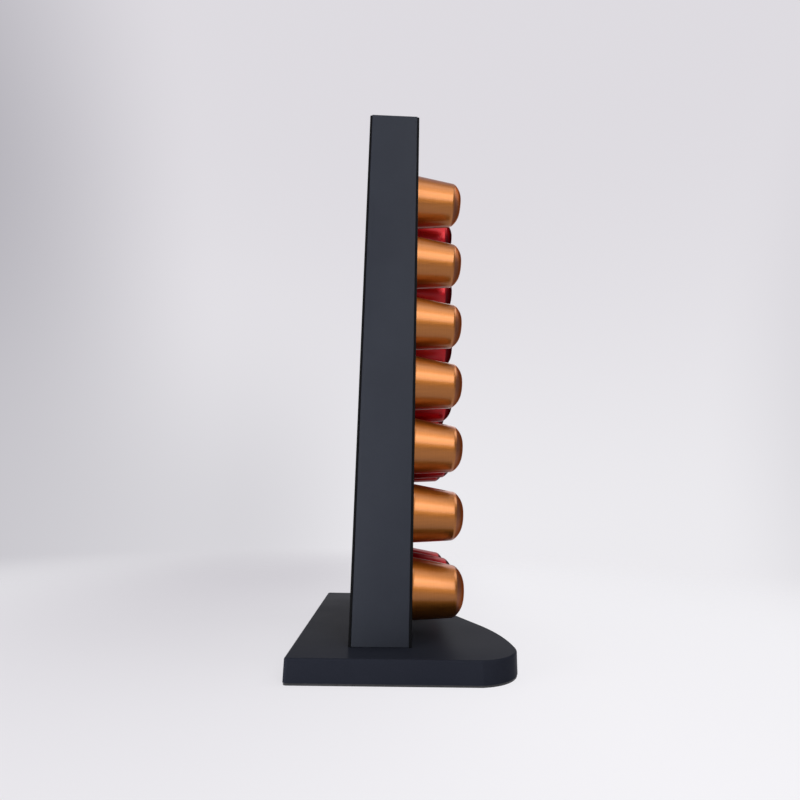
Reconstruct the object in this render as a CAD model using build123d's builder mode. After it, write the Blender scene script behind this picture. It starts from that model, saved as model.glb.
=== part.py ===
"""Free-standing coffee capsule holder: a channelled upright on a swept base, with its capsules.

The front faces -Y and +Z is up. The origin is under the middle of the base, on the table.
All lengths are in millimetres and all angles in degrees.
"""

import os
from math import atan2, cos, hypot, radians, sin, sqrt, tan

from build123d import *

os.makedirs("parts", exist_ok=True)

# Capsule, with heights measured from the front of its rim towards the nose
rim_diameter = 37.0
rim_width = 2.1
rim_thickness = 0.8
rim_rounding_share = 0.35
foil_thickness = 0.4
foil_margin = 0.5
collar_height = 1.8
collar_step = 0.4
shoulder_radius = 13.2
shoulder_height = 25.0
nose_radius = 5.0
nose_height = 30.3
nose_bulge_share = 0.11
cup_wall = 0.5

# How the capsules stand in their channels
column_names = ("left", "middle", "right")
droop_angle = 3.0
seat_clearance = 0.3
rim_side_clearance = 0.7
collar_clearance = 0.5
# Free gap over each rim up to the next one, bottom row first, as shares of the rim's diameter
rim_gap_shares = (0.065, 0.011, 0.011, 0.011, 0.097, 0.162)

# Upright
upright_depth = 30.6
mouth_height = 26.4
rail_height = 5.1
cheek_thickness = 4.0
cheek_rounding = 0.8
divider_width = 4.0
plate_thickness = 1.2
plate_rounding_share = 0.35
finger_corner_radius = 1.5

# Base
base_thickness = 10.0
near_margin = 18.6
far_margin = 27.2
back_margin = 27.0
front_reach = 51.4
far_setback = 50.0
sweep_start = 49.5
sweep_tangent_share = 0.9
front_corner_radius = 24.0
crease_angle = 12.0
crease_lead = 1.8
crease_rounding = 2.0
far_corner_radius = 40.0
back_corner_radius = 2.0
base_rounding = 0.9
felt_thickness = 1.0
felt_margin = 0.3

# Fixings between base and upright
dowel_radius = 4.0
dowel_length = 22.0
dowel_depth_in_base = 6.0
dowel_clearance = 0.1
dowel_spacing_share = 0.62
screw_radius = 2.0
screw_head_radius = 4.0
screw_length = 40.0
screw_clearance = 0.2
screw_spacing_share = 0.37
countersink_angle = 90

# Sizes that follow from these
rim_radius = rim_diameter / 2
# The rim has to stand out past the cup, so the collar and the cup's mouth end follow the rim
collar_radius = rim_radius - rim_width
body_radius = collar_radius - collar_step
stack_thickness = rim_thickness + foil_thickness
droop_sin = sin(radians(droop_angle))
droop_cos = cos(radians(droop_angle))
slot_width = 2 * (collar_radius + collar_clearance)
# The tilted rim leans on the slot's edges above its middle, and its lowest point on the board behind
lean_height = sqrt(rim_radius**2 - (slot_width / 2) ** 2)
rim_set_back = seat_clearance + lean_height * droop_sin
channel_depth = rim_set_back + stack_thickness * droop_cos + rim_radius * droop_sin + seat_clearance
channel_width = rim_diameter + 2 * rim_side_clearance
column_pitch = channel_width + divider_width
columns = len(column_names)
inner_width = columns * channel_width + (columns - 1) * divider_width
upright_width = inner_width + 2 * cheek_thickness

base_width = near_margin + upright_width + far_margin
base_depth = front_reach + upright_depth + back_margin
base_top = felt_thickness + base_thickness
near_side = -base_width / 2
far_side = base_width / 2
base_front = -base_depth / 2
base_back = base_depth / 2

upright_left = near_side + near_margin
upright_middle = upright_left + upright_width / 2
upright_front = base_front + front_reach
upright_back = upright_front + upright_depth
channel_front = upright_front + plate_thickness
board_front = channel_front + channel_depth
board_back = upright_back - plate_thickness
board_depth = board_back - board_front
cheek_depth = board_back - channel_front
plate_rounding = plate_thickness * plate_rounding_share

# Heights of the capsules, from the lowest row up, then turned so that row 1 is the top one
rim_reach = rim_radius * droop_cos
first_height = base_top + rail_height + seat_clearance + rim_reach + stack_thickness * droop_sin
row_heights = [first_height]
for gap_share in rim_gap_shares:
    row_heights.append(row_heights[-1] + rim_diameter * (1 + gap_share))
row_heights.reverse()
upright_top = row_heights[0] + rim_reach + mouth_height
upright_height = upright_top - base_top
column_centres = [
    upright_left + cheek_thickness + channel_width / 2 + column * column_pitch
    for column in range(columns)
]


def finish(piece, name):
    """Label a finished piece and write it under its node's name."""
    piece.part.label = name
    export_step(piece.part, f"parts/{name}.step")


# Base outline: square at the back, swept back from the near front to the far side. The near side
# turns in at a crease just before the rounded corner
crease_slope = radians(crease_angle)
corner_tangent = front_corner_radius * tan((radians(90) - crease_slope) / 2)
crease_run = corner_tangent + crease_lead
corner_inset = crease_run * sin(crease_slope)
crease_reach = crease_run * cos(crease_slope)
sweep_angle = atan2(far_setback, base_width - sweep_start)
sweep_tangent = sweep_tangent_share * (sweep_start - corner_inset - corner_tangent)
sweep_radius = sweep_tangent / tan(sweep_angle / 2)
with BuildSketch() as base_outline:
    with BuildLine():
        FilletPolyline(
            (near_side, base_back),
            (near_side, base_front + crease_reach),
            (near_side + corner_inset, base_front),
            (near_side + sweep_start, base_front),
            (far_side, base_front + far_setback),
            (far_side, base_back),
            radius=[
                back_corner_radius,
                crease_rounding,
                front_corner_radius,
                sweep_radius,
                far_corner_radius,
                back_corner_radius,
            ],
            close=True,
        )
    make_face()

board_middle = (board_front + board_back) / 2
dowel_reach = dowel_spacing_share * inner_width / 2
screw_reach = screw_spacing_share * inner_width / 2
dowel_places = [(upright_middle + side * dowel_reach, board_middle) for side in (-1, 1)]
screw_places = [(upright_middle + side * screw_reach, board_middle) for side in (-1, 0, 1)]


def looking_down(places, height):
    """Planes at the given places that face down, so that holes go up from them."""
    return [Plane(origin=(x, y, height), z_dir=(0, 0, -1)) for x, y in places]


with BuildPart() as base_plate:
    with BuildSketch(Plane.XY.offset(felt_thickness)):
        add(base_outline.sketch)
    extrude(amount=base_thickness)
    fillet(base_plate.faces().sort_by(Axis.Z)[-1].edges(), base_rounding)
    with Locations(*[(x, y, base_top) for x, y in dowel_places]):
        Hole(dowel_radius + dowel_clearance, dowel_depth_in_base + dowel_clearance)
    with Locations(*looking_down(screw_places, felt_thickness)):
        CounterSinkHole(
            screw_radius + screw_clearance,
            screw_head_radius + screw_clearance,
            base_thickness,
            countersink_angle,
        )
finish(base_plate, "base_plate")

with BuildPart() as felt_sheet:
    with BuildSketch():
        add(base_outline.sketch)
        offset(amount=-felt_margin, mode=Mode.REPLACE)
    extrude(amount=felt_thickness)
finish(felt_sheet, "felt_sheet")

with BuildPart() as dowels:
    with Locations(*[(x, y, base_top - dowel_depth_in_base) for x, y in dowel_places]):
        Cylinder(dowel_radius, dowel_length, align=(Align.CENTER, Align.CENTER, Align.MIN))
finish(dowels, "dowels")

screw_head_height = screw_head_radius - screw_radius
with BuildPart() as screw:
    with BuildSketch(Plane.XZ):
        with BuildLine():
            Polyline(
                (0, 0),
                (screw_head_radius, 0),
                (screw_radius, screw_head_height),
                (screw_radius, screw_length),
                (0, screw_length),
                close=True,
            )
        make_face()
    revolve(axis=Axis.Z)

with BuildPart() as base_screws:
    with Locations(*[(x, y, felt_thickness) for x, y in screw_places]):
        add(screw.part)
finish(base_screws, "base_screws")

with BuildPart() as back_board:
    with Locations((upright_middle, board_front, base_top)):
        Box(inner_width, board_depth, upright_height, align=(Align.CENTER, Align.MIN, Align.MIN))
    with Locations(*looking_down(dowel_places, base_top)):
        Hole(dowel_radius + dowel_clearance, dowel_length - dowel_depth_in_base + dowel_clearance)
    with Locations(*looking_down(screw_places, base_top)):
        Hole(screw_radius + dowel_clearance, screw_length - base_thickness + dowel_clearance)
finish(back_board, "back_board")

for name, cheek_side, corner in (
    ("left_cheek", upright_left, Align.MIN),
    ("right_cheek", upright_left + upright_width, Align.MAX),
):
    with BuildPart() as cheek:
        with Locations((cheek_side, channel_front, base_top)):
            Box(cheek_thickness, cheek_depth, upright_height, align=(corner, Align.MIN, Align.MIN))
        outer_face = cheek.faces().filter_by_position(Axis.X, cheek_side, cheek_side)[0]
        fillet(outer_face.edges().sort_by(Axis.Z)[-1], cheek_rounding)
    finish(cheek, name)

with BuildPart() as bottom_rail:
    with Locations((upright_middle, channel_front, base_top)):
        Box(inner_width, channel_depth, rail_height, align=(Align.CENTER, Align.MIN, Align.MIN))
finish(bottom_rail, "bottom_rail")

divider_height = upright_height - rail_height
for name, channel_centre in zip(("divider_left", "divider_right"), column_centres):
    with BuildPart() as divider:
        with Locations((channel_centre + column_pitch / 2, channel_front, base_top + rail_height)):
            Box(
                divider_width,
                channel_depth,
                divider_height,
                align=(Align.CENTER, Align.MIN, Align.MIN),
            )
    finish(divider, name)

# Front sheet: one long slot a column, round at the foot and open at the top
slot_foot = row_heights[-1]
with BuildPart() as front_plate:
    with BuildSketch(Plane.XZ.offset(-channel_front)) as comb:
        with Locations((upright_middle, base_top)):
            Rectangle(upright_width, upright_height, align=(Align.CENTER, Align.MIN))
        with Locations(*[(centre, slot_foot) for centre in column_centres]):
            Rectangle(
                slot_width,
                upright_top - slot_foot,
                align=(Align.CENTER, Align.MIN),
                mode=Mode.SUBTRACT,
            )
            Circle(slot_width / 2, mode=Mode.SUBTRACT)
        fillet(comb.vertices().group_by(Axis.Y)[-1], finger_corner_radius)
    extrude(amount=plate_thickness)
    outer_edges = front_plate.faces().sort_by(Axis.Y)[0].edges()
    fillet(outer_edges.sort_by(Axis.Z)[1:], plate_rounding)
finish(front_plate, "front_plate")

with BuildPart() as back_plate:
    with BuildSketch(Plane.XZ.offset(-upright_back)) as sheet:
        with Locations((upright_middle, base_top)):
            Rectangle(upright_width, upright_height, align=(Align.CENTER, Align.MIN))
        fillet(sheet.vertices().group_by(Axis.Y)[-1], finger_corner_radius)
    extrude(amount=plate_thickness)
    outer_edges = back_plate.faces().sort_by(Axis.Y)[-1].edges()
    fillet(outer_edges.sort_by(Axis.Z)[1:], plate_rounding)
finish(back_plate, "back_plate")

# Cup profile: across is the radius, up runs from the rim to the nose
nose_bulge = nose_bulge_share * hypot(shoulder_radius - nose_radius, nose_height - shoulder_height)
mouth_radius = body_radius - cup_wall
inner_shoulder_radius = shoulder_radius - cup_wall
inner_nose_height = nose_height - cup_wall


def make_cup(seat):
    """A drawn cup on its seat plane, whose Y runs along the cup's axis to the nose."""
    with BuildPart() as cup:
        with BuildSketch(seat) as profile:
            with BuildLine():
                Polyline(
                    (mouth_radius, -rim_thickness),
                    (rim_radius, -rim_thickness),
                    (rim_radius, 0),
                    (collar_radius, 0),
                    (collar_radius, collar_height),
                    (body_radius, collar_height),
                    (shoulder_radius, shoulder_height),
                )
                SagittaArc(
                    (shoulder_radius, shoulder_height), (nose_radius, nose_height), -nose_bulge
                )
                Polyline(
                    (nose_radius, nose_height),
                    (0, nose_height),
                    (0, inner_nose_height),
                    (nose_radius, inner_nose_height),
                )
                SagittaArc(
                    (nose_radius, inner_nose_height),
                    (inner_shoulder_radius, shoulder_height),
                    nose_bulge,
                )
                Line((inner_shoulder_radius, shoulder_height), (mouth_radius, -rim_thickness))
            make_face()
            rim_corners = profile.vertices().group_by(Axis.X)[-1]
            fillet(rim_corners, rim_thickness * rim_rounding_share)
        revolve(axis=Axis(seat.origin, seat.y_dir))
    return cup


def make_foil(seat):
    """The foil that closes a cup, on the back of its rim."""
    back = Plane(seat.origin - seat.y_dir * rim_thickness, x_dir=seat.x_dir, z_dir=-seat.y_dir)
    with BuildPart() as foil:
        with BuildSketch(back):
            Circle(rim_radius - foil_margin)
        extrude(amount=foil_thickness)
    return foil


for column_name, centre in zip(column_names, column_centres):
    for row, height in enumerate(row_heights, start=1):
        seat = Plane(
            origin=(centre, channel_front + rim_set_back, height),
            x_dir=(1, 0, 0),
            z_dir=(0, droop_sin, -droop_cos),
        )
        finish(make_cup(seat), f"{column_name}_cup_{row}")
        finish(make_foil(seat), f"{column_name}_foil_{row}")

print(f"base {base_width:.1f} x {base_depth:.1f}, upright {upright_width:.1f} x {upright_height:.1f}")
print(f"channel depth {channel_depth:.2f}, sweep radius {sweep_radius:.1f}")
print("rows from the top", [round(height - base_top, 1) for height in row_heights])
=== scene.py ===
"""Looks of the coffee capsule holder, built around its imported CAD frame.

Lengths are in metres, in the frame of the CAD model: the front faces -Y, +Z is up, and the
origin is on the table under the middle of the base.
"""

import logging
import math
from dataclasses import dataclass, field, replace
from enum import Enum

import bmesh
import bpy
from mathutils import Matrix, Vector


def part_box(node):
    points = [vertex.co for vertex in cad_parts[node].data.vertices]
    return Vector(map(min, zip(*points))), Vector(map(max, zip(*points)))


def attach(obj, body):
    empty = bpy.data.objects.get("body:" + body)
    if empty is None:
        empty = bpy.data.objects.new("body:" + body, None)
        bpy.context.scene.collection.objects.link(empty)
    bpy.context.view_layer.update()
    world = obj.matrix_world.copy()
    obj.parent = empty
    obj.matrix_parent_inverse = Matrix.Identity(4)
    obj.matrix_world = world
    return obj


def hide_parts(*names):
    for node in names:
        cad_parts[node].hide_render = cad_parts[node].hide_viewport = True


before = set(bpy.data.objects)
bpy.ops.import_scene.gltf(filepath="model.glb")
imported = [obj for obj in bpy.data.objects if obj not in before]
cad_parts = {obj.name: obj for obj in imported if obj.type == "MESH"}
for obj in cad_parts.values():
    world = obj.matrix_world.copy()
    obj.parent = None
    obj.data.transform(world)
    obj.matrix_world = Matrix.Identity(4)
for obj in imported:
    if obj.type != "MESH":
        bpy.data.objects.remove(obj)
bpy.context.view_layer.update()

LOG = logging.getLogger("capsule_holder")
MM = 0.001
MERGE = 1e-6
NOSE_MASK = "nose"
Colour = tuple[float, float, float]
BevelPlan = tuple[tuple[float, float], float, int]


class Column(Enum):
    """The three capsule columns, named as in the CAD model, nearest to the camera first."""

    LEFT = "left"
    MIDDLE = "middle"
    RIGHT = "right"


class Side(Enum):
    """The two outer boards of the upright, with the direction that each one faces along X."""

    LEFT = -1
    RIGHT = 1

    @property
    def node(self) -> str:
        """The CAD node of this board."""
        return f"{self.name.lower()}_cheek"


class NodeSheet:
    """A node tree that is filled in node by node."""

    def __init__(self, tree: bpy.types.NodeTree) -> None:
        """Take over a tree.

        Args:
            tree: The tree of a material, a world or a group.
        """
        self.tree = tree

    @classmethod
    def blank(cls, owner: bpy.types.Material | bpy.types.World) -> "NodeSheet":
        """Switch a material or a world to nodes and empty it.

        Args:
            owner: The material or world.

        Returns:
            The sheet of its empty node tree.
        """
        owner.use_nodes = True
        owner.node_tree.nodes.clear()
        return cls(owner.node_tree)

    def add(
        self, kind: str, inputs: dict[str | int, object] | None = None, **settings: object
    ) -> bpy.types.Node:
        """Add one node.

        Args:
            kind: Blender's name of the node type.
            inputs: Socket name or index to a fixed value, or to an output socket to link from.
            settings: Attributes of the node itself.

        Returns:
            The new node.
        """
        node = self.tree.nodes.new(kind)
        for name, value in settings.items():
            setattr(node, name, value)
        for name, value in (inputs or {}).items():
            if isinstance(value, bpy.types.NodeSocket):
                self.tree.links.new(value, node.inputs[name])
            else:
                node.inputs[name].default_value = value
        return node

    def math(self, operation: str, first: object, second: object = 0.0) -> bpy.types.NodeSocket:
        """Add a math node and return its output."""
        node = self.add("ShaderNodeMath", {0: first, 1: second}, operation=operation)
        return node.outputs[0]

    def blend(self, mask: object, low: object, high: object) -> bpy.types.NodeSocket:
        """Mix two numbers by a mask and return the result's socket."""
        node = self.add("ShaderNodeMix", {0: mask, 2: low, 3: high}, data_type="FLOAT")
        return node.outputs[0]

    def tint(self, mask: object, low: Colour, high: Colour) -> bpy.types.NodeSocket:
        """Mix two colours by a mask and return the result's socket."""
        node = self.add("ShaderNodeMix", {0: mask, 6: (*low, 1), 7: (*high, 1)}, data_type="RGBA")
        return node.outputs[2]

    def ramp(self, value: object, start: float, end: float) -> bpy.types.NodeSocket:
        """Turn a number into a smooth mask.

        Args:
            value: The number's socket.
            start: Where the mask is 0.
            end: Where the mask is 1.

        Returns:
            The mask's socket.
        """
        node = self.add(
            "ShaderNodeMapRange",
            {"Value": value, "From Min": start, "From Max": end},
            interpolation_type="SMOOTHSTEP",
        )
        return node.outputs["Result"]


class Effect(Enum):
    """Surface effects that several finishes share, each one a shader node group."""

    GRAIN = "fine_grain"
    TURNED = "turned_metal"

    def group(self) -> bpy.types.NodeTree:
        """Return this effect's node group, which is built the first time.

        Returns:
            The group, whose outputs are Mask and Height.
        """
        found = bpy.data.node_groups.get(self.value)
        return found or {Effect.GRAIN: grain_group, Effect.TURNED: turned_group}[self]()


def open_group(name: str, numbers: tuple[str, ...]) -> tuple[NodeSheet, bpy.types.Node]:
    """Start a shader node group with a Vector input, number inputs and two outputs.

    Args:
        name: The group's name.
        numbers: Names of its number inputs.

    Returns:
        The group's sheet and its input node.
    """
    group = bpy.data.node_groups.new(name, "ShaderNodeTree")
    group.interface.new_socket("Vector", in_out="INPUT", socket_type="NodeSocketVector")
    for number in numbers:
        group.interface.new_socket(number, in_out="INPUT", socket_type="NodeSocketFloat")
    for output in ("Mask", "Height"):
        group.interface.new_socket(output, in_out="OUTPUT", socket_type="NodeSocketFloat")
    sheet = NodeSheet(group)
    return sheet, sheet.add("NodeGroupInput")


CLOUD_DETAIL = 4.0
GRAIN_DETAIL = 2.0
GRAIN_SHARE = 0.3
GRAIN_SPAN = (0.3, 0.7)


def grain_group() -> bpy.types.NodeTree:
    """Build the grain effect: broad clouds as the mask, fine grain as the height.

    Returns:
        The group's node tree.
    """
    sheet, given = open_group(Effect.GRAIN.value, ("Clouds", "Grain"))
    place = given.outputs["Vector"]
    clouds = sheet.add(
        "ShaderNodeTexNoise",
        {"Vector": place, "Scale": given.outputs["Clouds"], "Detail": CLOUD_DETAIL},
    )
    grain = sheet.add(
        "ShaderNodeTexNoise",
        {"Vector": place, "Scale": given.outputs["Grain"], "Detail": GRAIN_DETAIL},
    )
    mixed = sheet.blend(GRAIN_SHARE, clouds.outputs["Fac"], grain.outputs["Fac"])
    mask = sheet.ramp(mixed, *GRAIN_SPAN)
    sheet.add("NodeGroupOutput", {"Mask": mask, "Height": grain.outputs["Fac"]})
    return sheet.tree


TURNED_DETAIL = 3.0
RING_ROUGHNESS = 0.65
STREAK_PULL = (1.0, 0.03, 1.0)
STREAK_SHARE = 0.45
TURNED_SPAN = (0.32, 0.68)


def turned_group() -> bpy.types.NodeTree:
    """Build the turned metal effect: rings across the axis, Y, with faint streaks along it.

    Returns:
        The group's node tree.
    """
    sheet, given = open_group(Effect.TURNED.value, ("Rings", "Streaks"))
    place = given.outputs["Vector"]
    along = sheet.add("ShaderNodeSeparateXYZ", {0: place}).outputs["Y"]
    rings = sheet.add(
        "ShaderNodeTexNoise",
        {
            "W": along,
            "Scale": given.outputs["Rings"],
            "Detail": TURNED_DETAIL,
            "Roughness": RING_ROUGHNESS,
        },
        noise_dimensions="1D",
    )
    stretched = sheet.add(
        "ShaderNodeVectorMath", {0: place, 1: STREAK_PULL}, operation="MULTIPLY"
    )
    streaks = sheet.add(
        "ShaderNodeTexNoise",
        {
            "Vector": stretched.outputs[0],
            "Scale": given.outputs["Streaks"],
            "Detail": TURNED_DETAIL,
        },
    )
    mixed = sheet.blend(STREAK_SHARE, rings.outputs["Fac"], streaks.outputs["Fac"])
    mask = sheet.ramp(mixed, *TURNED_SPAN)
    sheet.add("NodeGroupOutput", {"Mask": mask, "Height": mixed})
    return sheet.tree


@dataclass(frozen=True)
class Finish:
    """A procedural finish: two tones and two roughnesses, mixed by a shared surface effect."""

    name: str
    dark: Colour
    light: Colour
    smooth: float
    rough: float
    bump: float
    effect: Effect = Effect.GRAIN
    broad: float = 40.0
    fine: float = 1500.0
    depth: float = 0.0001
    turn: float = 0.0
    stretch: tuple[float, float, float] = (1.0, 1.0, 1.0)
    metallic: float = 0.0
    specular: float = 0.5
    coat: float = 0.0
    coat_roughness: float = 0.2
    edge: Colour = (1.0, 1.0, 1.0)
    sheen: float = 0.0
    anisotropic: float = 0.0

    def material(self) -> bpy.types.Material:
        """Return this finish's material, which is made the first time.

        Returns:
            A material whose pattern follows Object coordinates.
        """
        return bpy.data.materials.get(self.name) or self.mix()

    def mix(self) -> bpy.types.Material:
        """Build the material's nodes.

        Returns:
            The new material.
        """
        made = bpy.data.materials.new(self.name)
        sheet = NodeSheet.blank(made)
        place = sheet.add("ShaderNodeTexCoord").outputs["Object"]
        turned = sheet.add(
            "ShaderNodeMapping",
            {"Vector": place, "Rotation": (self.turn, 0.0, 0.0), "Scale": self.stretch},
        )
        group = sheet.add("ShaderNodeGroup", node_tree=self.effect.group())
        sheet.tree.links.new(turned.outputs["Vector"], group.inputs["Vector"])
        group.inputs[1].default_value = self.broad
        group.inputs[2].default_value = self.fine
        relief = sheet.add(
            "ShaderNodeBump",
            {"Strength": self.bump, "Distance": self.depth, "Height": group.outputs["Height"]},
        )
        mask = group.outputs["Mask"]
        shader = sheet.add(
            "ShaderNodeBsdfPrincipled",
            {
                "Base Color": self.tone(sheet, mask),
                "Roughness": sheet.blend(mask, self.smooth, self.rough),
                "Normal": relief.outputs["Normal"],
                "Metallic": self.metallic,
                "Specular IOR Level": self.specular,
                "Coat Weight": self.gloss(sheet),
                "Coat Roughness": self.coat_roughness,
                "Specular Tint": (*self.edge, 1),
                "Sheen Weight": self.sheen,
                "Anisotropic": self.anisotropic,
            },
        )
        self.lay(sheet, shader)
        sheet.add("ShaderNodeOutputMaterial", {"Surface": shader.outputs["BSDF"]})
        return made

    def tone(self, sheet: NodeSheet, mask: bpy.types.NodeSocket) -> bpy.types.NodeSocket:
        """Mix the finish's two tones.

        Args:
            sheet: The material's nodes.
            mask: The surface effect's mask.

        Returns:
            The socket of the colour.
        """
        return sheet.tint(mask, self.dark, self.light)

    def gloss(self, sheet: NodeSheet) -> float | bpy.types.NodeSocket:
        """Give the clear coat's weight, the same all over a plain finish."""
        return self.coat

    def lay(self, sheet: NodeSheet, shader: bpy.types.Node) -> None:
        """Set which way the finish's fine lines run, which plain finishes leave alone."""

    def coat_nodes(self, nodes: tuple[str, ...]) -> None:
        """Give this finish to CAD nodes that stay as they are.

        Args:
            nodes: Names of the CAD nodes.
        """
        for node in nodes:
            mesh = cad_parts[node].data
            mesh.materials.clear()
            mesh.materials.append(self.material())


@dataclass(frozen=True)
class CupLacquer(Finish):
    """Lacquered metal of a cup, drawn along the cup's axis and duller on its nose, whose darker
    tones there are painted shade.
    """

    # The nose tones are darker than the body's: painted shade.
    nose_shaded_dark: Colour = (0.1, 0.1, 0.1)
    nose_shaded_light: Colour = (0.2, 0.2, 0.2)

    def tone(self, sheet: NodeSheet, mask: bpy.types.NodeSocket) -> bpy.types.NodeSocket:
        """Fade from the body's tones to the nose's darker ones, which are painted shade, by the
        cup's own nose attribute.

        Args:
            sheet: The material's nodes.
            mask: The surface effect's mask.

        Returns:
            The socket of the colour.
        """
        nose = sheet.tint(mask, self.nose_shaded_dark, self.nose_shaded_light)
        body = super().tone(sheet, mask)
        faded = sheet.add(
            "ShaderNodeMix", {0: self.nose(sheet), 6: body, 7: nose}, data_type="RGBA"
        )
        return faded.outputs[2]

    def gloss(self, sheet: NodeSheet) -> float | bpy.types.NodeSocket:
        """Fade the clear coat out on the nose."""
        return sheet.blend(self.nose(sheet), self.coat, 0.0)

    @staticmethod
    def nose(sheet: NodeSheet) -> bpy.types.NodeSocket:
        """Read the cup's nose attribute, which is 0 on the body and 1 on the nose."""
        return sheet.add("ShaderNodeAttribute", attribute_name=NOSE_MASK).outputs["Fac"]

    def lay(self, sheet: NodeSheet, shader: bpy.types.Node) -> None:
        """Spread highlights round the cup, as fine lines along its axis do.

        Args:
            sheet: The material's nodes.
            shader: The Principled shader.
        """
        around = sheet.add("ShaderNodeTangent", direction_type="RADIAL", axis="Y")
        sheet.tree.links.new(around.outputs["Tangent"], shader.inputs["Tangent"])


DROOP = math.radians(3.0)

BOARD_PAINT = Finish(
    "anthracite_paint",
    dark=(0.028, 0.031, 0.041),
    light=(0.033, 0.037, 0.048),
    smooth=0.54,
    rough=0.62,
    bump=0.10,
    broad=22.0,
    fine=1400.0,
    specular=0.10,
)
BASE_PAINT = replace(
    BOARD_PAINT,
    name="anthracite_base_paint",
    dark=(0.017, 0.019, 0.027),
    light=(0.021, 0.023, 0.032),
    smooth=0.30,
    rough=0.38,
    bump=0.06,
    specular=0.006,
)
SHEET_COAT = Finish(
    "black_powder_coat",
    dark=(0.0035, 0.0037, 0.0044),
    light=(0.0050, 0.0052, 0.0060),
    smooth=0.60,
    rough=0.70,
    bump=0.16,
    broad=60.0,
    fine=2600.0,
    specular=0.06,
)
FELT = Finish(
    "pressed_felt",
    dark=(0.020, 0.020, 0.022),
    light=(0.040, 0.040, 0.043),
    smooth=0.90,
    rough=1.0,
    bump=0.6,
    broad=300.0,
    fine=4000.0,
    depth=0.0003,
    sheen=0.3,
)
BEECH = Finish(
    "plain_beech",
    dark=(0.50, 0.33, 0.18),
    light=(0.66, 0.48, 0.30),
    smooth=0.50,
    rough=0.65,
    bump=0.2,
    broad=160.0,
    fine=1800.0,
    stretch=(1.0, 1.0, 0.08),
)
STEEL = Finish(
    "zinc_steel",
    dark=(0.48, 0.48, 0.49),
    light=(0.60, 0.60, 0.61),
    smooth=0.28,
    rough=0.42,
    bump=0.1,
    broad=200.0,
    fine=2500.0,
    metallic=1.0,
)
FOIL = Finish(
    "lidding_foil",
    dark=(0.70, 0.70, 0.70),
    light=(0.86, 0.86, 0.86),
    smooth=0.22,
    rough=0.38,
    bump=0.35,
    broad=120.0,
    fine=420.0,
    depth=0.0004,
    metallic=1.0,
)
COPPER = CupLacquer(
    "copper_lacquer",
    dark=(0.29, 0.094, 0.010),
    light=(0.34, 0.114, 0.016),
    smooth=0.31,
    rough=0.37,
    bump=0.03,
    effect=Effect.TURNED,
    broad=2200.0,
    fine=900.0,
    turn=DROOP,
    metallic=1.0,
    coat=0.75,
    coat_roughness=0.22,
    edge=(0.45, 0.28, 0.20),
    anisotropic=0.7,
    # Darker nose tones: painted shade.
    nose_shaded_dark=(0.210, 0.085, 0.050),
    nose_shaded_light=(0.270, 0.110, 0.065),
)
RED = replace(
    COPPER,
    name="red_lacquer",
    dark=(0.28, 0.004, 0.006),
    light=(0.34, 0.005, 0.010),
    coat=0.4,
    edge=(0.22, 0.02, 0.02),
    # Darker nose tones: painted shade.
    nose_shaded_dark=(0.090, 0.012, 0.014),
    nose_shaded_light=(0.120, 0.017, 0.020),
)


def finish_mesh(shape: bmesh.types.BMesh, name: str, sharp: float) -> bpy.types.Object:
    """Close a bmesh, turn its faces outwards and make it an object at the origin.

    Args:
        shape: The bmesh, with its place in its vertices. It is freed.
        name: The piece's name.
        sharp: Angle in degrees above which an edge shades as a sharp one.

    Returns:
        The new object, linked to the scene.
    """
    bmesh.ops.remove_doubles(shape, verts=shape.verts, dist=MERGE)
    bmesh.ops.recalc_face_normals(shape, faces=shape.faces)
    mesh = bpy.data.meshes.new(name)
    shape.to_mesh(mesh)
    shape.free()
    mesh.shade_smooth()
    mesh.set_sharp_from_angle(angle=math.radians(sharp))
    piece = bpy.data.objects.new(name, mesh)
    bpy.context.scene.collection.objects.link(piece)
    return piece


def round_edges(
    shape: bmesh.types.BMesh, edges: list[bmesh.types.BMEdge], offset: float, segments: int
) -> None:
    """Round some edges of a bmesh.

    Args:
        shape: The bmesh.
        edges: The edges to be rounded.
        offset: How far the rounding reaches from each edge.
        segments: Number of faces across it.
    """
    bmesh.ops.bevel(
        shape,
        geom=edges,
        offset=offset,
        segments=segments,
        profile=0.5,
        affect="EDGES",
        material=-1,
    )


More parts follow.
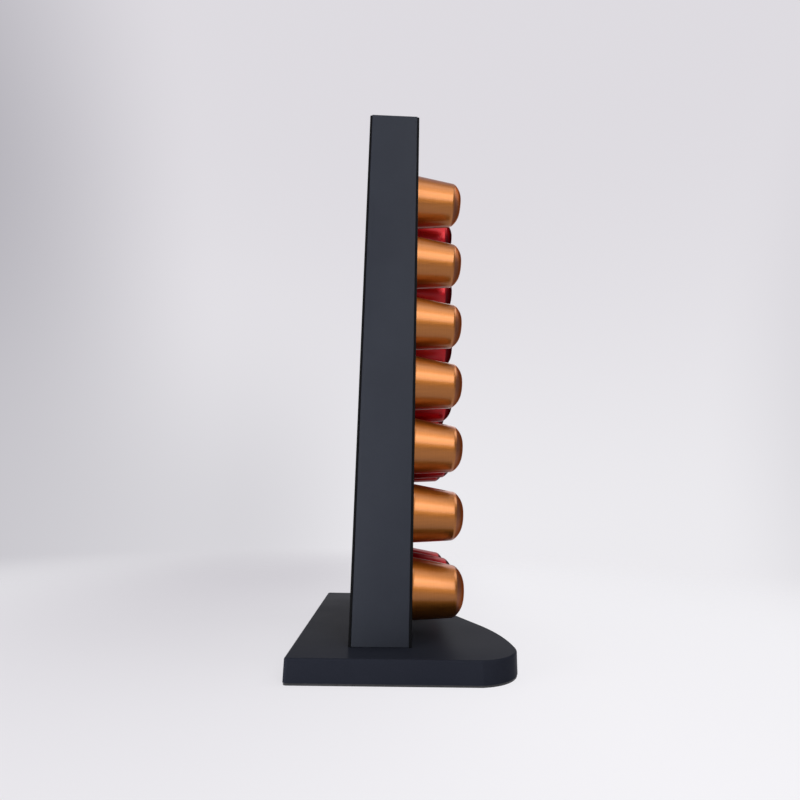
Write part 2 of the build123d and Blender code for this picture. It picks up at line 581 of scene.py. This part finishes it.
@dataclass
class CapsuleCup:
    """A drawn cup with a rolled rim edge, a stepped collar and a dimpled, domed nose.

    Heights run along the cup's axis, from the front of its rim to the nose.
    """

    column: Column
    row: int
    rim_radius: float = 18.5 * MM
    rim_thickness: float = 0.8 * MM
    bead_width: float = 1.0 * MM
    flange_drop: float = 0.25 * MM
    collar_radius: float = 16.4 * MM
    collar_height: float = 1.8 * MM
    body_radius: float = 16.0 * MM
    shoulder_radius: float = 13.2 * MM
    shoulder_height: float = 25.0 * MM
    nose_radius: float = 5.0 * MM
    nose_height: float = 30.3 * MM
    nose_bulge_share: float = 0.11
    nose_start: float = 0.3 * MM
    nose_fade: float = 0.5 * MM
    cone_margin: float = 1.6 * MM
    dimple_radius: float = 4.1 * MM
    dimple_depth: float = 0.45 * MM
    wall: float = 0.5 * MM
    foil_thickness: float = 0.4 * MM
    dimple_rounding: float = 0.18 * MM
    shoulder_rounding: float = 0.8 * MM
    collar_rounding: float = 0.15 * MM
    bead_rounding: float = 0.2 * MM
    rim_rounding: float = 0.36 * MM
    fine_steps: int = 2
    shoulder_steps: int = 5
    rim_steps: int = 4
    dome_steps: int = 10
    turn_steps: int = 96
    sharp: float = 40.0

    @property
    def node(self) -> str:
        """The CAD node that this cup stands for."""
        return f"{self.column.value}_cup_{self.row}"

    @property
    def foil(self) -> str:
        """The CAD node of the foil that closes this cup."""
        return f"{self.column.value}_foil_{self.row}"

    @property
    def body(self) -> str:
        """The CAD body that this cup moves with."""
        return f"{self.column.value}_capsule_{self.row}"

    @property
    def dimple_height(self) -> float:
        """The height of the floor of the nose's dimple."""
        return self.nose_height - self.dimple_depth

    @property
    def bead_radius(self) -> float:
        """The radius at which the rim's rolled edge starts."""
        return self.rim_radius - self.bead_width

    def seat(self) -> Matrix:
        """Find the cup's place from its foil, whose middle is on the cup's axis.

        Returns:
            The matrix that takes the cup's axis from +Z to where the nose points.
        """
        low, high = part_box(self.foil)
        axis = Vector((0.0, -math.cos(DROOP), -math.sin(DROOP)))
        origin = (low + high) / 2 + axis * (self.foil_thickness / 2 + self.rim_thickness)
        return Matrix.Translation(origin) @ Matrix.Rotation(math.pi / 2 + DROOP, 4, "X")

    def dome(self, shape: bmesh.types.BMesh, start: bmesh.types.BMVert) -> bmesh.types.BMVert:
        """Sweep the nose's dome from its flat tip out to the shoulder.

        Args:
            shape: The bmesh that holds the profile.
            start: The vertex at the edge of the flat tip.

        Returns:
            The vertex at the shoulder.
        """
        tip = Vector((self.nose_radius, 0.0, self.nose_height))
        shoulder = Vector((self.shoulder_radius, 0.0, self.shoulder_height))
        chord = shoulder - tip
        rise = self.nose_bulge_share * chord.length
        radius = chord.length**2 / (8 * rise) + rise / 2
        outward = Vector((-chord.z, 0.0, chord.x)).normalized()
        centre = (tip + shoulder) / 2 - outward * (radius - rise)
        swept = bmesh.ops.spin(
            shape,
            geom=[start],
            cent=centre,
            axis=(0.0, 1.0, 0.0),
            angle=2 * math.asin(chord.length / (2 * radius)),
            steps=self.dome_steps,
        )
        return next(v for v in swept["geom_last"] if isinstance(v, bmesh.types.BMVert))

    def on_cone(self, height: float) -> tuple[float, float]:
        """Give the radius and height of a point on the straight part of the body.

        Args:
            height: Where the point is along the axis.

        Returns:
            The point, which ends the stretch that shades as a true cone.
        """
        climb = (height - self.collar_height) / (self.shoulder_height - self.collar_height)
        return self.body_radius + climb * (self.shoulder_radius - self.body_radius), height

    def corners(self) -> tuple[list[tuple[float, float]], list[tuple[float, float]]]:
        """Give the profile's corners, on both sides of the dome.

        Returns:
            Radius and height of each corner: the tip before the dome, then the rest from the
            shoulder over the collar and rim to the inner wall.
        """
        tip = [
            (0.0, self.dimple_height),
            (self.dimple_radius, self.dimple_height),
            (self.dimple_radius + self.wall, self.nose_height),
        ]
        rest = [
            self.on_cone(self.shoulder_height - self.cone_margin),
            self.on_cone(self.collar_height + self.cone_margin),
            (self.body_radius, self.collar_height),
            (self.collar_radius, self.collar_height),
            (self.collar_radius, -self.flange_drop),
            (self.bead_radius, -self.flange_drop),
            (self.bead_radius, 0.0),
            (self.rim_radius, 0.0),
            (self.rim_radius, -self.rim_thickness),
            (self.body_radius - self.wall, -self.rim_thickness),
            (self.shoulder_radius - self.wall, self.shoulder_height - self.wall),
            (self.nose_radius, self.dimple_height - self.wall),
            (0.0, self.dimple_height - self.wall),
        ]
        return tip, rest

    def roundings(self) -> list[BevelPlan]:
        """List the profile's corners to be rounded.

        Returns:
            Radius and height of each corner, with the offset and number of segments.
        """
        lip = (self.dimple_radius + self.wall, self.nose_height)
        shoulder = (self.shoulder_radius, self.shoulder_height)
        return [
            (lip, self.dimple_rounding, self.fine_steps),
            ((self.dimple_radius, self.dimple_height), self.dimple_rounding, self.fine_steps),
            (shoulder, self.shoulder_rounding, self.shoulder_steps),
            ((self.body_radius, self.collar_height), self.collar_rounding, self.fine_steps),
            ((self.collar_radius, self.collar_height), self.collar_rounding, self.fine_steps),
            ((self.bead_radius, 0.0), self.bead_rounding, self.fine_steps),
            ((self.rim_radius, 0.0), self.rim_rounding, self.rim_steps),
            ((self.rim_radius, -self.rim_thickness), self.rim_rounding, self.rim_steps),
        ]

    def profile(self, shape: bmesh.types.BMesh) -> None:
        """Draw the cup's half profile as a chain of edges, from the axis round to the axis.

        Args:
            shape: The empty bmesh that takes the profile.
        """
        tip, rest = self.corners()
        chain = [shape.verts.new((radius, 0.0, height)) for radius, height in tip]
        chain.append(shape.verts.new((self.nose_radius, 0.0, self.nose_height)))
        for first, second in zip(chain, chain[1:]):
            shape.edges.new((first, second))
        last = self.dome(shape, chain[-1])
        for radius, height in rest:
            corner = shape.verts.new((radius, 0.0, height))
            shape.edges.new((last, corner))
            last = corner

    def mark_nose(self, shape: bmesh.types.BMesh) -> None:
        """Write the nose attribute, which is 0 on the body and 1 on the nose.

        Args:
            shape: The cup's bmesh, with its axis on Z.
        """
        nose = shape.verts.layers.float.new(NOSE_MASK)
        for vert in shape.verts:
            rise = vert.co.z - self.shoulder_height - self.nose_start
            vert[nose] = min(max(rise / self.nose_fade, 0.0), 1.0)

    def build(self) -> bpy.types.Object:
        """Spin the profile, round its corners and set the cup in its place.

        Returns:
            The cup's object.
        """
        shape = bmesh.new()
        self.profile(shape)
        bmesh.ops.spin(
            shape,
            geom=shape.verts[:] + shape.edges[:],
            cent=(0.0, 0.0, 0.0),
            axis=(0.0, 0.0, 1.0),
            angle=2 * math.pi,
            steps=self.turn_steps,
            use_merge=True,
        )
        bmesh.ops.remove_doubles(shape, verts=shape.verts, dist=MERGE)
        bmesh.ops.recalc_face_normals(shape, faces=shape.faces)
        for place, offset, segments in self.roundings():
            round_edges(shape, self.ring(shape, place), offset, segments)
        self.mark_nose(shape)
        bmesh.ops.transform(shape, matrix=self.seat(), verts=shape.verts)
        return finish_mesh(shape, f"{self.column.value}_drawn_cup_{self.row}", self.sharp)

    @staticmethod
    def ring(shape: bmesh.types.BMesh, place: tuple[float, float]) -> list[bmesh.types.BMEdge]:
        """Pick the edges that run round the cup at one radius and height.

        Args:
            shape: The cup's bmesh, with its axis on Z.
            place: Radius and height of the ring.

        Returns:
            The ring's edges.
        """
        radius, height = place

        def on_ring(vert: bmesh.types.BMVert) -> bool:
            """Say whether a vertex lies on the ring."""
            return abs(vert.co.z - height) < MERGE and abs(vert.co.xy.length - radius) < MERGE

        return [edge for edge in shape.edges if all(on_ring(vert) for vert in edge.verts)]

    def dress(self, piece: bpy.types.Object) -> None:
        """Give the cup its lacquer and hang it on its CAD body.

        Args:
            piece: The cup's object.
        """
        copper = self.column is Column.LEFT
        piece.data.materials.append((COPPER if copper else RED).material())
        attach(piece, self.body)
        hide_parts(self.node)


@dataclass
class CheekBoard:
    """An outer board of the upright, with its outer arrises eased."""

    side: Side
    easing: float = 0.5 * MM
    segments: int = 3
    sharp: float = 30.0

    def build(self) -> bpy.types.Object:
        """Make the board from the box of its CAD node.

        Returns:
            The board's object.
        """
        low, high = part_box(self.side.node)
        shape = bmesh.new()
        bmesh.ops.create_cube(shape, size=1.0)
        bmesh.ops.scale(shape, vec=high - low, verts=shape.verts)
        bmesh.ops.translate(shape, vec=(low + high) / 2, verts=shape.verts)
        outer = max(shape.faces, key=lambda face: face.calc_center_median().x * self.side.value)
        round_edges(shape, list(outer.edges), self.easing, self.segments)
        return finish_mesh(shape, f"{self.side.name.lower()}_eased_cheek", self.sharp)

    def dress(self, piece: bpy.types.Object) -> None:
        """Paint the board and hang it on the holder.

        Args:
            piece: The board's object.
        """
        piece.data.materials.append(BOARD_PAINT.material())
        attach(piece, "holder")
        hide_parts(self.side.node)


@dataclass
class Holder:
    """The standing part: its boards, sheets and fixings."""

    finishes: tuple[tuple[Finish, tuple[str, ...]], ...] = (
        (BOARD_PAINT, ("back_board", "divider_left", "divider_right", "bottom_rail")),
        (BASE_PAINT, ("base_plate",)),
        (SHEET_COAT, ("front_plate", "back_plate")),
        (FELT, ("felt_sheet",)),
        (BEECH, ("dowels",)),
        (STEEL, ("base_screws",)),
    )

    def build(self) -> list[bpy.types.Object]:
        """Build and dress the two cheeks, which stand for CAD nodes.

        Returns:
            The cheeks.
        """
        made = []
        for side in Side:
            board = CheekBoard(side)
            piece = board.build()
            board.dress(piece)
            made.append(piece)
        return made

    def dress(self) -> None:
        """Give the CAD nodes that stay as they are their finishes."""
        for finish, nodes in self.finishes:
            finish.coat_nodes(nodes)


@dataclass
class CapsuleStock:
    """All capsules: seven rows in each of the three columns, row 1 at the top."""

    rows: int = 7

    def cups(self) -> list[CapsuleCup]:
        """List the cups, column by column from the top."""
        return [CapsuleCup(column, row) for column in Column for row in range(1, self.rows + 1)]

    def build(self) -> list[bpy.types.Object]:
        """Build and dress every cup.

        Returns:
            The cups' objects.
        """
        made = []
        for cup in self.cups():
            piece = cup.build()
            cup.dress(piece)
            made.append(piece)
        return made

    def dress(self) -> None:
        """Give every foil its finish."""
        FOIL.coat_nodes(tuple(cup.foil for cup in self.cups()))


@dataclass(frozen=True)
class Lamp:
    """A soft rectangular lamp that points at a spot."""

    name: str
    place: tuple[float, float, float]
    target: tuple[float, float, float]
    size: tuple[float, float]
    power: float

    def hang(self) -> None:
        """Make the lamp and link it to the scene."""
        data = bpy.data.lights.new(self.name, "AREA")
        data.shape = "RECTANGLE"
        data.size, data.size_y = self.size
        data.energy = self.power
        lamp = bpy.data.objects.new(self.name, data)
        lamp.location = self.place
        lamp.rotation_mode = "QUATERNION"
        aim = Vector(self.target) - Vector(self.place)
        lamp.rotation_quaternion = aim.to_track_quat("-Z", "Y")
        bpy.context.scene.collection.objects.link(lamp)


@dataclass
class Studio:
    """Pale floor and backdrop, soft light from the camera's side, and the camera.

    A turn or rise is the pair of sideways or upward directions between which a shade of the
    backdrop fades in.
    """

    floor_radius: float = 2.5
    floor_segments: int = 96
    floor_sharp: float = 30.0
    floor_fade: tuple[float, float] = (0.20, 0.75)
    # The floor's painted shadow: how far it reaches, its stretch, its centre and its tone.
    floor_shadow_reach: tuple[float, float] = (0.05, 0.32)
    floor_shadow_stretch: tuple[float, float, float] = (0.3, 1.0, 1.0)
    floor_shadow_centre: tuple[float, float, float] = (0.14, 0.17, 0.0)
    floor_shadow: Colour = (0.70, 0.68, 0.72)
    floor_high: Colour = (0.95, 0.94, 0.97)
    floor_glow: float = 0.8
    sky_pale: Colour = (0.84, 0.83, 0.86)
    sky_top: Colour = (0.73, 0.71, 0.75)
    sky_shade: Colour = (0.38, 0.37, 0.41)
    sky_rise: tuple[float, float] = (-0.1, 0.7)
    behind_turn: tuple[float, float] = (0.1, -0.8)
    behind_rise: tuple[float, float] = (0.75, 0.15)
    left_turn: tuple[float, float] = (0.32, 0.72)
    left_rise: tuple[float, float] = (-0.1, 0.6)
    left_shade: float = 0.35
    right_turn: tuple[float, float] = (-0.55, -0.95)
    # A painted shadow of the object, low on the backdrop on the +Y side.
    backdrop_shadow_turn: tuple[float, float] = (-0.10, 0.30)
    backdrop_shadow_rise: tuple[float, float] = (0.45, -0.05)
    backdrop_shadow_strength: float = 0.36
    ambient: Colour = (0.14, 0.145, 0.16)
    lamps: tuple[Lamp, ...] = (
        Lamp("key_lamp", (-0.37, 0.50, 0.10), (-0.06, 0.0, 0.13), (0.40, 0.16), 3.0),
        Lamp("cup_lamp", (-0.53, -0.18, 0.31), (-0.06, -0.03, 0.15), (0.22, 0.30), 0.85),
        Lamp("high_lamp", (-0.50, -0.22, 0.66), (-0.06, -0.03, 0.15), (0.30, 0.54), 0.8),
        Lamp("far_lamp", (0.50, -0.15, 0.50), (0.05, 0.0, 0.14), (0.40, 0.40), 0.6),
        Lamp("back_lamp", (0.20, 0.55, 0.55), (0.0, 0.0, 0.14), (0.40, 0.40), 0.4),
        Lamp("front_lamp", (-0.05, -0.55, 0.70), (0.0, 0.0, 0.14), (0.50, 0.40), 1.6),
    )
    eye: Vector = field(default_factory=lambda: Vector((-0.3214, 0.0122, 0.0745)))
    yaw: float = -0.028
    pitch: float = 0.229
    roll: float = 0.022
    lens: float = 21.64
    sensor: float = 36.0
    near_clip: float = 0.01

    def build(self) -> None:
        """Set up floor, world, lamps and camera."""
        self.floor()
        self.world()
        for lamp in self.lamps:
            lamp.hang()
        self.camera()
        bpy.context.scene.view_settings.view_transform = "Standard"

    @staticmethod
    def seen(sheet: NodeSheet) -> bpy.types.NodeSocket:
        """Tell the rays that show the background from those that light the object.

        Args:
            sheet: The nodes of the floor or the world.

        Returns:
            The socket of a mask that is 1 for the rays that show it.
        """
        path = sheet.add("ShaderNodeLightPath").outputs
        shown = sheet.math("MAXIMUM", path["Is Camera Ray"], path["Is Glossy Ray"])
        return sheet.math("MAXIMUM", shown, path["Is Transmission Ray"])

    def floor(self) -> None:
        """Lay the floor, with a painted shadow, which fades into the backdrop away from the
        object.
        """
        shape = bmesh.new()
        bmesh.ops.create_circle(
            shape, cap_ends=True, radius=self.floor_radius, segments=self.floor_segments
        )
        piece = finish_mesh(shape, "studio_floor", self.floor_sharp)
        made = bpy.data.materials.new("studio_floor")
        sheet = NodeSheet.blank(made)
        place = sheet.add("ShaderNodeTexCoord").outputs["Object"]
        far = sheet.add("ShaderNodeVectorMath", {0: place}, operation="LENGTH").outputs["Value"]
        # Painted shadow: the floor darkens towards a spot on the object's +X, +Y side.
        drawn = sheet.add(
            "ShaderNodeVectorMath", {0: place, 1: self.floor_shadow_stretch}, operation="MULTIPLY"
        ).outputs["Vector"]
        off = sheet.add(
            "ShaderNodeVectorMath", {0: drawn, 1: self.floor_shadow_centre}, operation="DISTANCE"
        ).outputs["Value"]
        tone = sheet.tint(sheet.ramp(off, *self.floor_shadow_reach), self.floor_shadow, self.floor_high)
        paper = sheet.add("ShaderNodeBsdfDiffuse", {"Color": tone})
        glow = sheet.add("ShaderNodeEmission", {"Color": tone})
        share = sheet.math("MULTIPLY", self.seen(sheet), self.floor_glow)
        lit = sheet.add("ShaderNodeMixShader", {0: share, 1: paper.outputs[0], 2: glow.outputs[0]})
        clear = sheet.add("ShaderNodeBsdfTransparent")
        faded = sheet.add(
            "ShaderNodeMixShader",
            {0: sheet.ramp(far, *self.floor_fade), 1: lit.outputs[0], 2: clear.outputs[0]},
        )
        sheet.add("ShaderNodeOutputMaterial", {"Surface": faded.outputs[0]})
        piece.data.materials.append(made)

    def world(self) -> None:
        """Paint the backdrop, paler on the side that faces the camera, and the soft fill light."""
        world = bpy.data.worlds.new("studio")
        bpy.context.scene.world = world
        sheet = NodeSheet.blank(world)
        heading = sheet.add("ShaderNodeTexCoord").outputs["Generated"]
        axes = sheet.add("ShaderNodeSeparateXYZ", {0: heading}).outputs
        height = sheet.tint(sheet.ramp(axes["Z"], *self.sky_rise), self.sky_pale, self.sky_top)
        behind = sheet.math(
            "MULTIPLY",
            sheet.ramp(axes["X"], *self.behind_turn),
            sheet.ramp(axes["Z"], *self.behind_rise),
        )
        left = sheet.math(
            "MULTIPLY",
            sheet.ramp(axes["Y"], *self.left_turn),
            sheet.blend(sheet.ramp(axes["Z"], *self.left_rise), self.left_shade, 1.0),
        )
        # Painted shadow of the object, low on the backdrop on the +Y side.
        low = sheet.math(
            "MULTIPLY",
            sheet.ramp(axes["Y"], *self.backdrop_shadow_turn),
            sheet.ramp(axes["Z"], *self.backdrop_shadow_rise),
        )
        shade = sheet.math("MULTIPLY", low, self.backdrop_shadow_strength)
        for mask in (left, sheet.ramp(axes["Y"], *self.right_turn), behind):
            shade = sheet.blend(mask, shade, 1.0)
        backdrop = sheet.add(
            "ShaderNodeMix",
            {0: shade, 6: height, 7: (*self.sky_shade, 1)},
            data_type="RGBA",
        ).outputs[2]
        shown = sheet.add("ShaderNodeBackground", {"Color": backdrop})
        fill = sheet.add("ShaderNodeBackground", {"Color": (*self.ambient, 1)})
        mixed = sheet.add(
            "ShaderNodeMixShader",
            {0: self.seen(sheet), 1: fill.outputs[0], 2: shown.outputs[0]},
        )
        sheet.add("ShaderNodeOutputWorld", {"Surface": mixed.outputs[0]})

    def camera(self) -> None:
        """Stand the camera at the photograph's viewpoint."""
        data = bpy.data.cameras.new("photo_camera")
        data.sensor_width = self.sensor
        data.lens = self.lens
        data.clip_start = self.near_clip
        level = math.cos(self.pitch)
        ahead = Vector(
            (level * math.cos(self.yaw), level * math.sin(self.yaw), math.sin(self.pitch))
        )
        right = ahead.cross(Vector((0.0, 0.0, 1.0))).normalized()
        up = right.cross(ahead)
        turn, keep = math.sin(self.roll), math.cos(self.roll)
        across = keep * right + turn * up
        upward = keep * up - turn * right
        camera = bpy.data.objects.new("photo_camera", data)
        axes = Matrix((across, upward, -ahead)).transposed().to_4x4()
        camera.matrix_world = Matrix.Translation(self.eye) @ axes
        bpy.context.scene.collection.objects.link(camera)
        bpy.context.scene.camera = camera


def main() -> None:
    """Build and dress the holder and its capsules, then the studio round them."""
    logging.basicConfig(level=logging.INFO, format="%(name)s: %(message)s")
    for assembly in (Holder(), CapsuleStock()):
        for piece in assembly.build():
            LOG.info("%s: %d faces", piece.name, len(piece.data.polygons))
        assembly.dress()
    Studio().build()


if __name__ == "__main__":
    main()
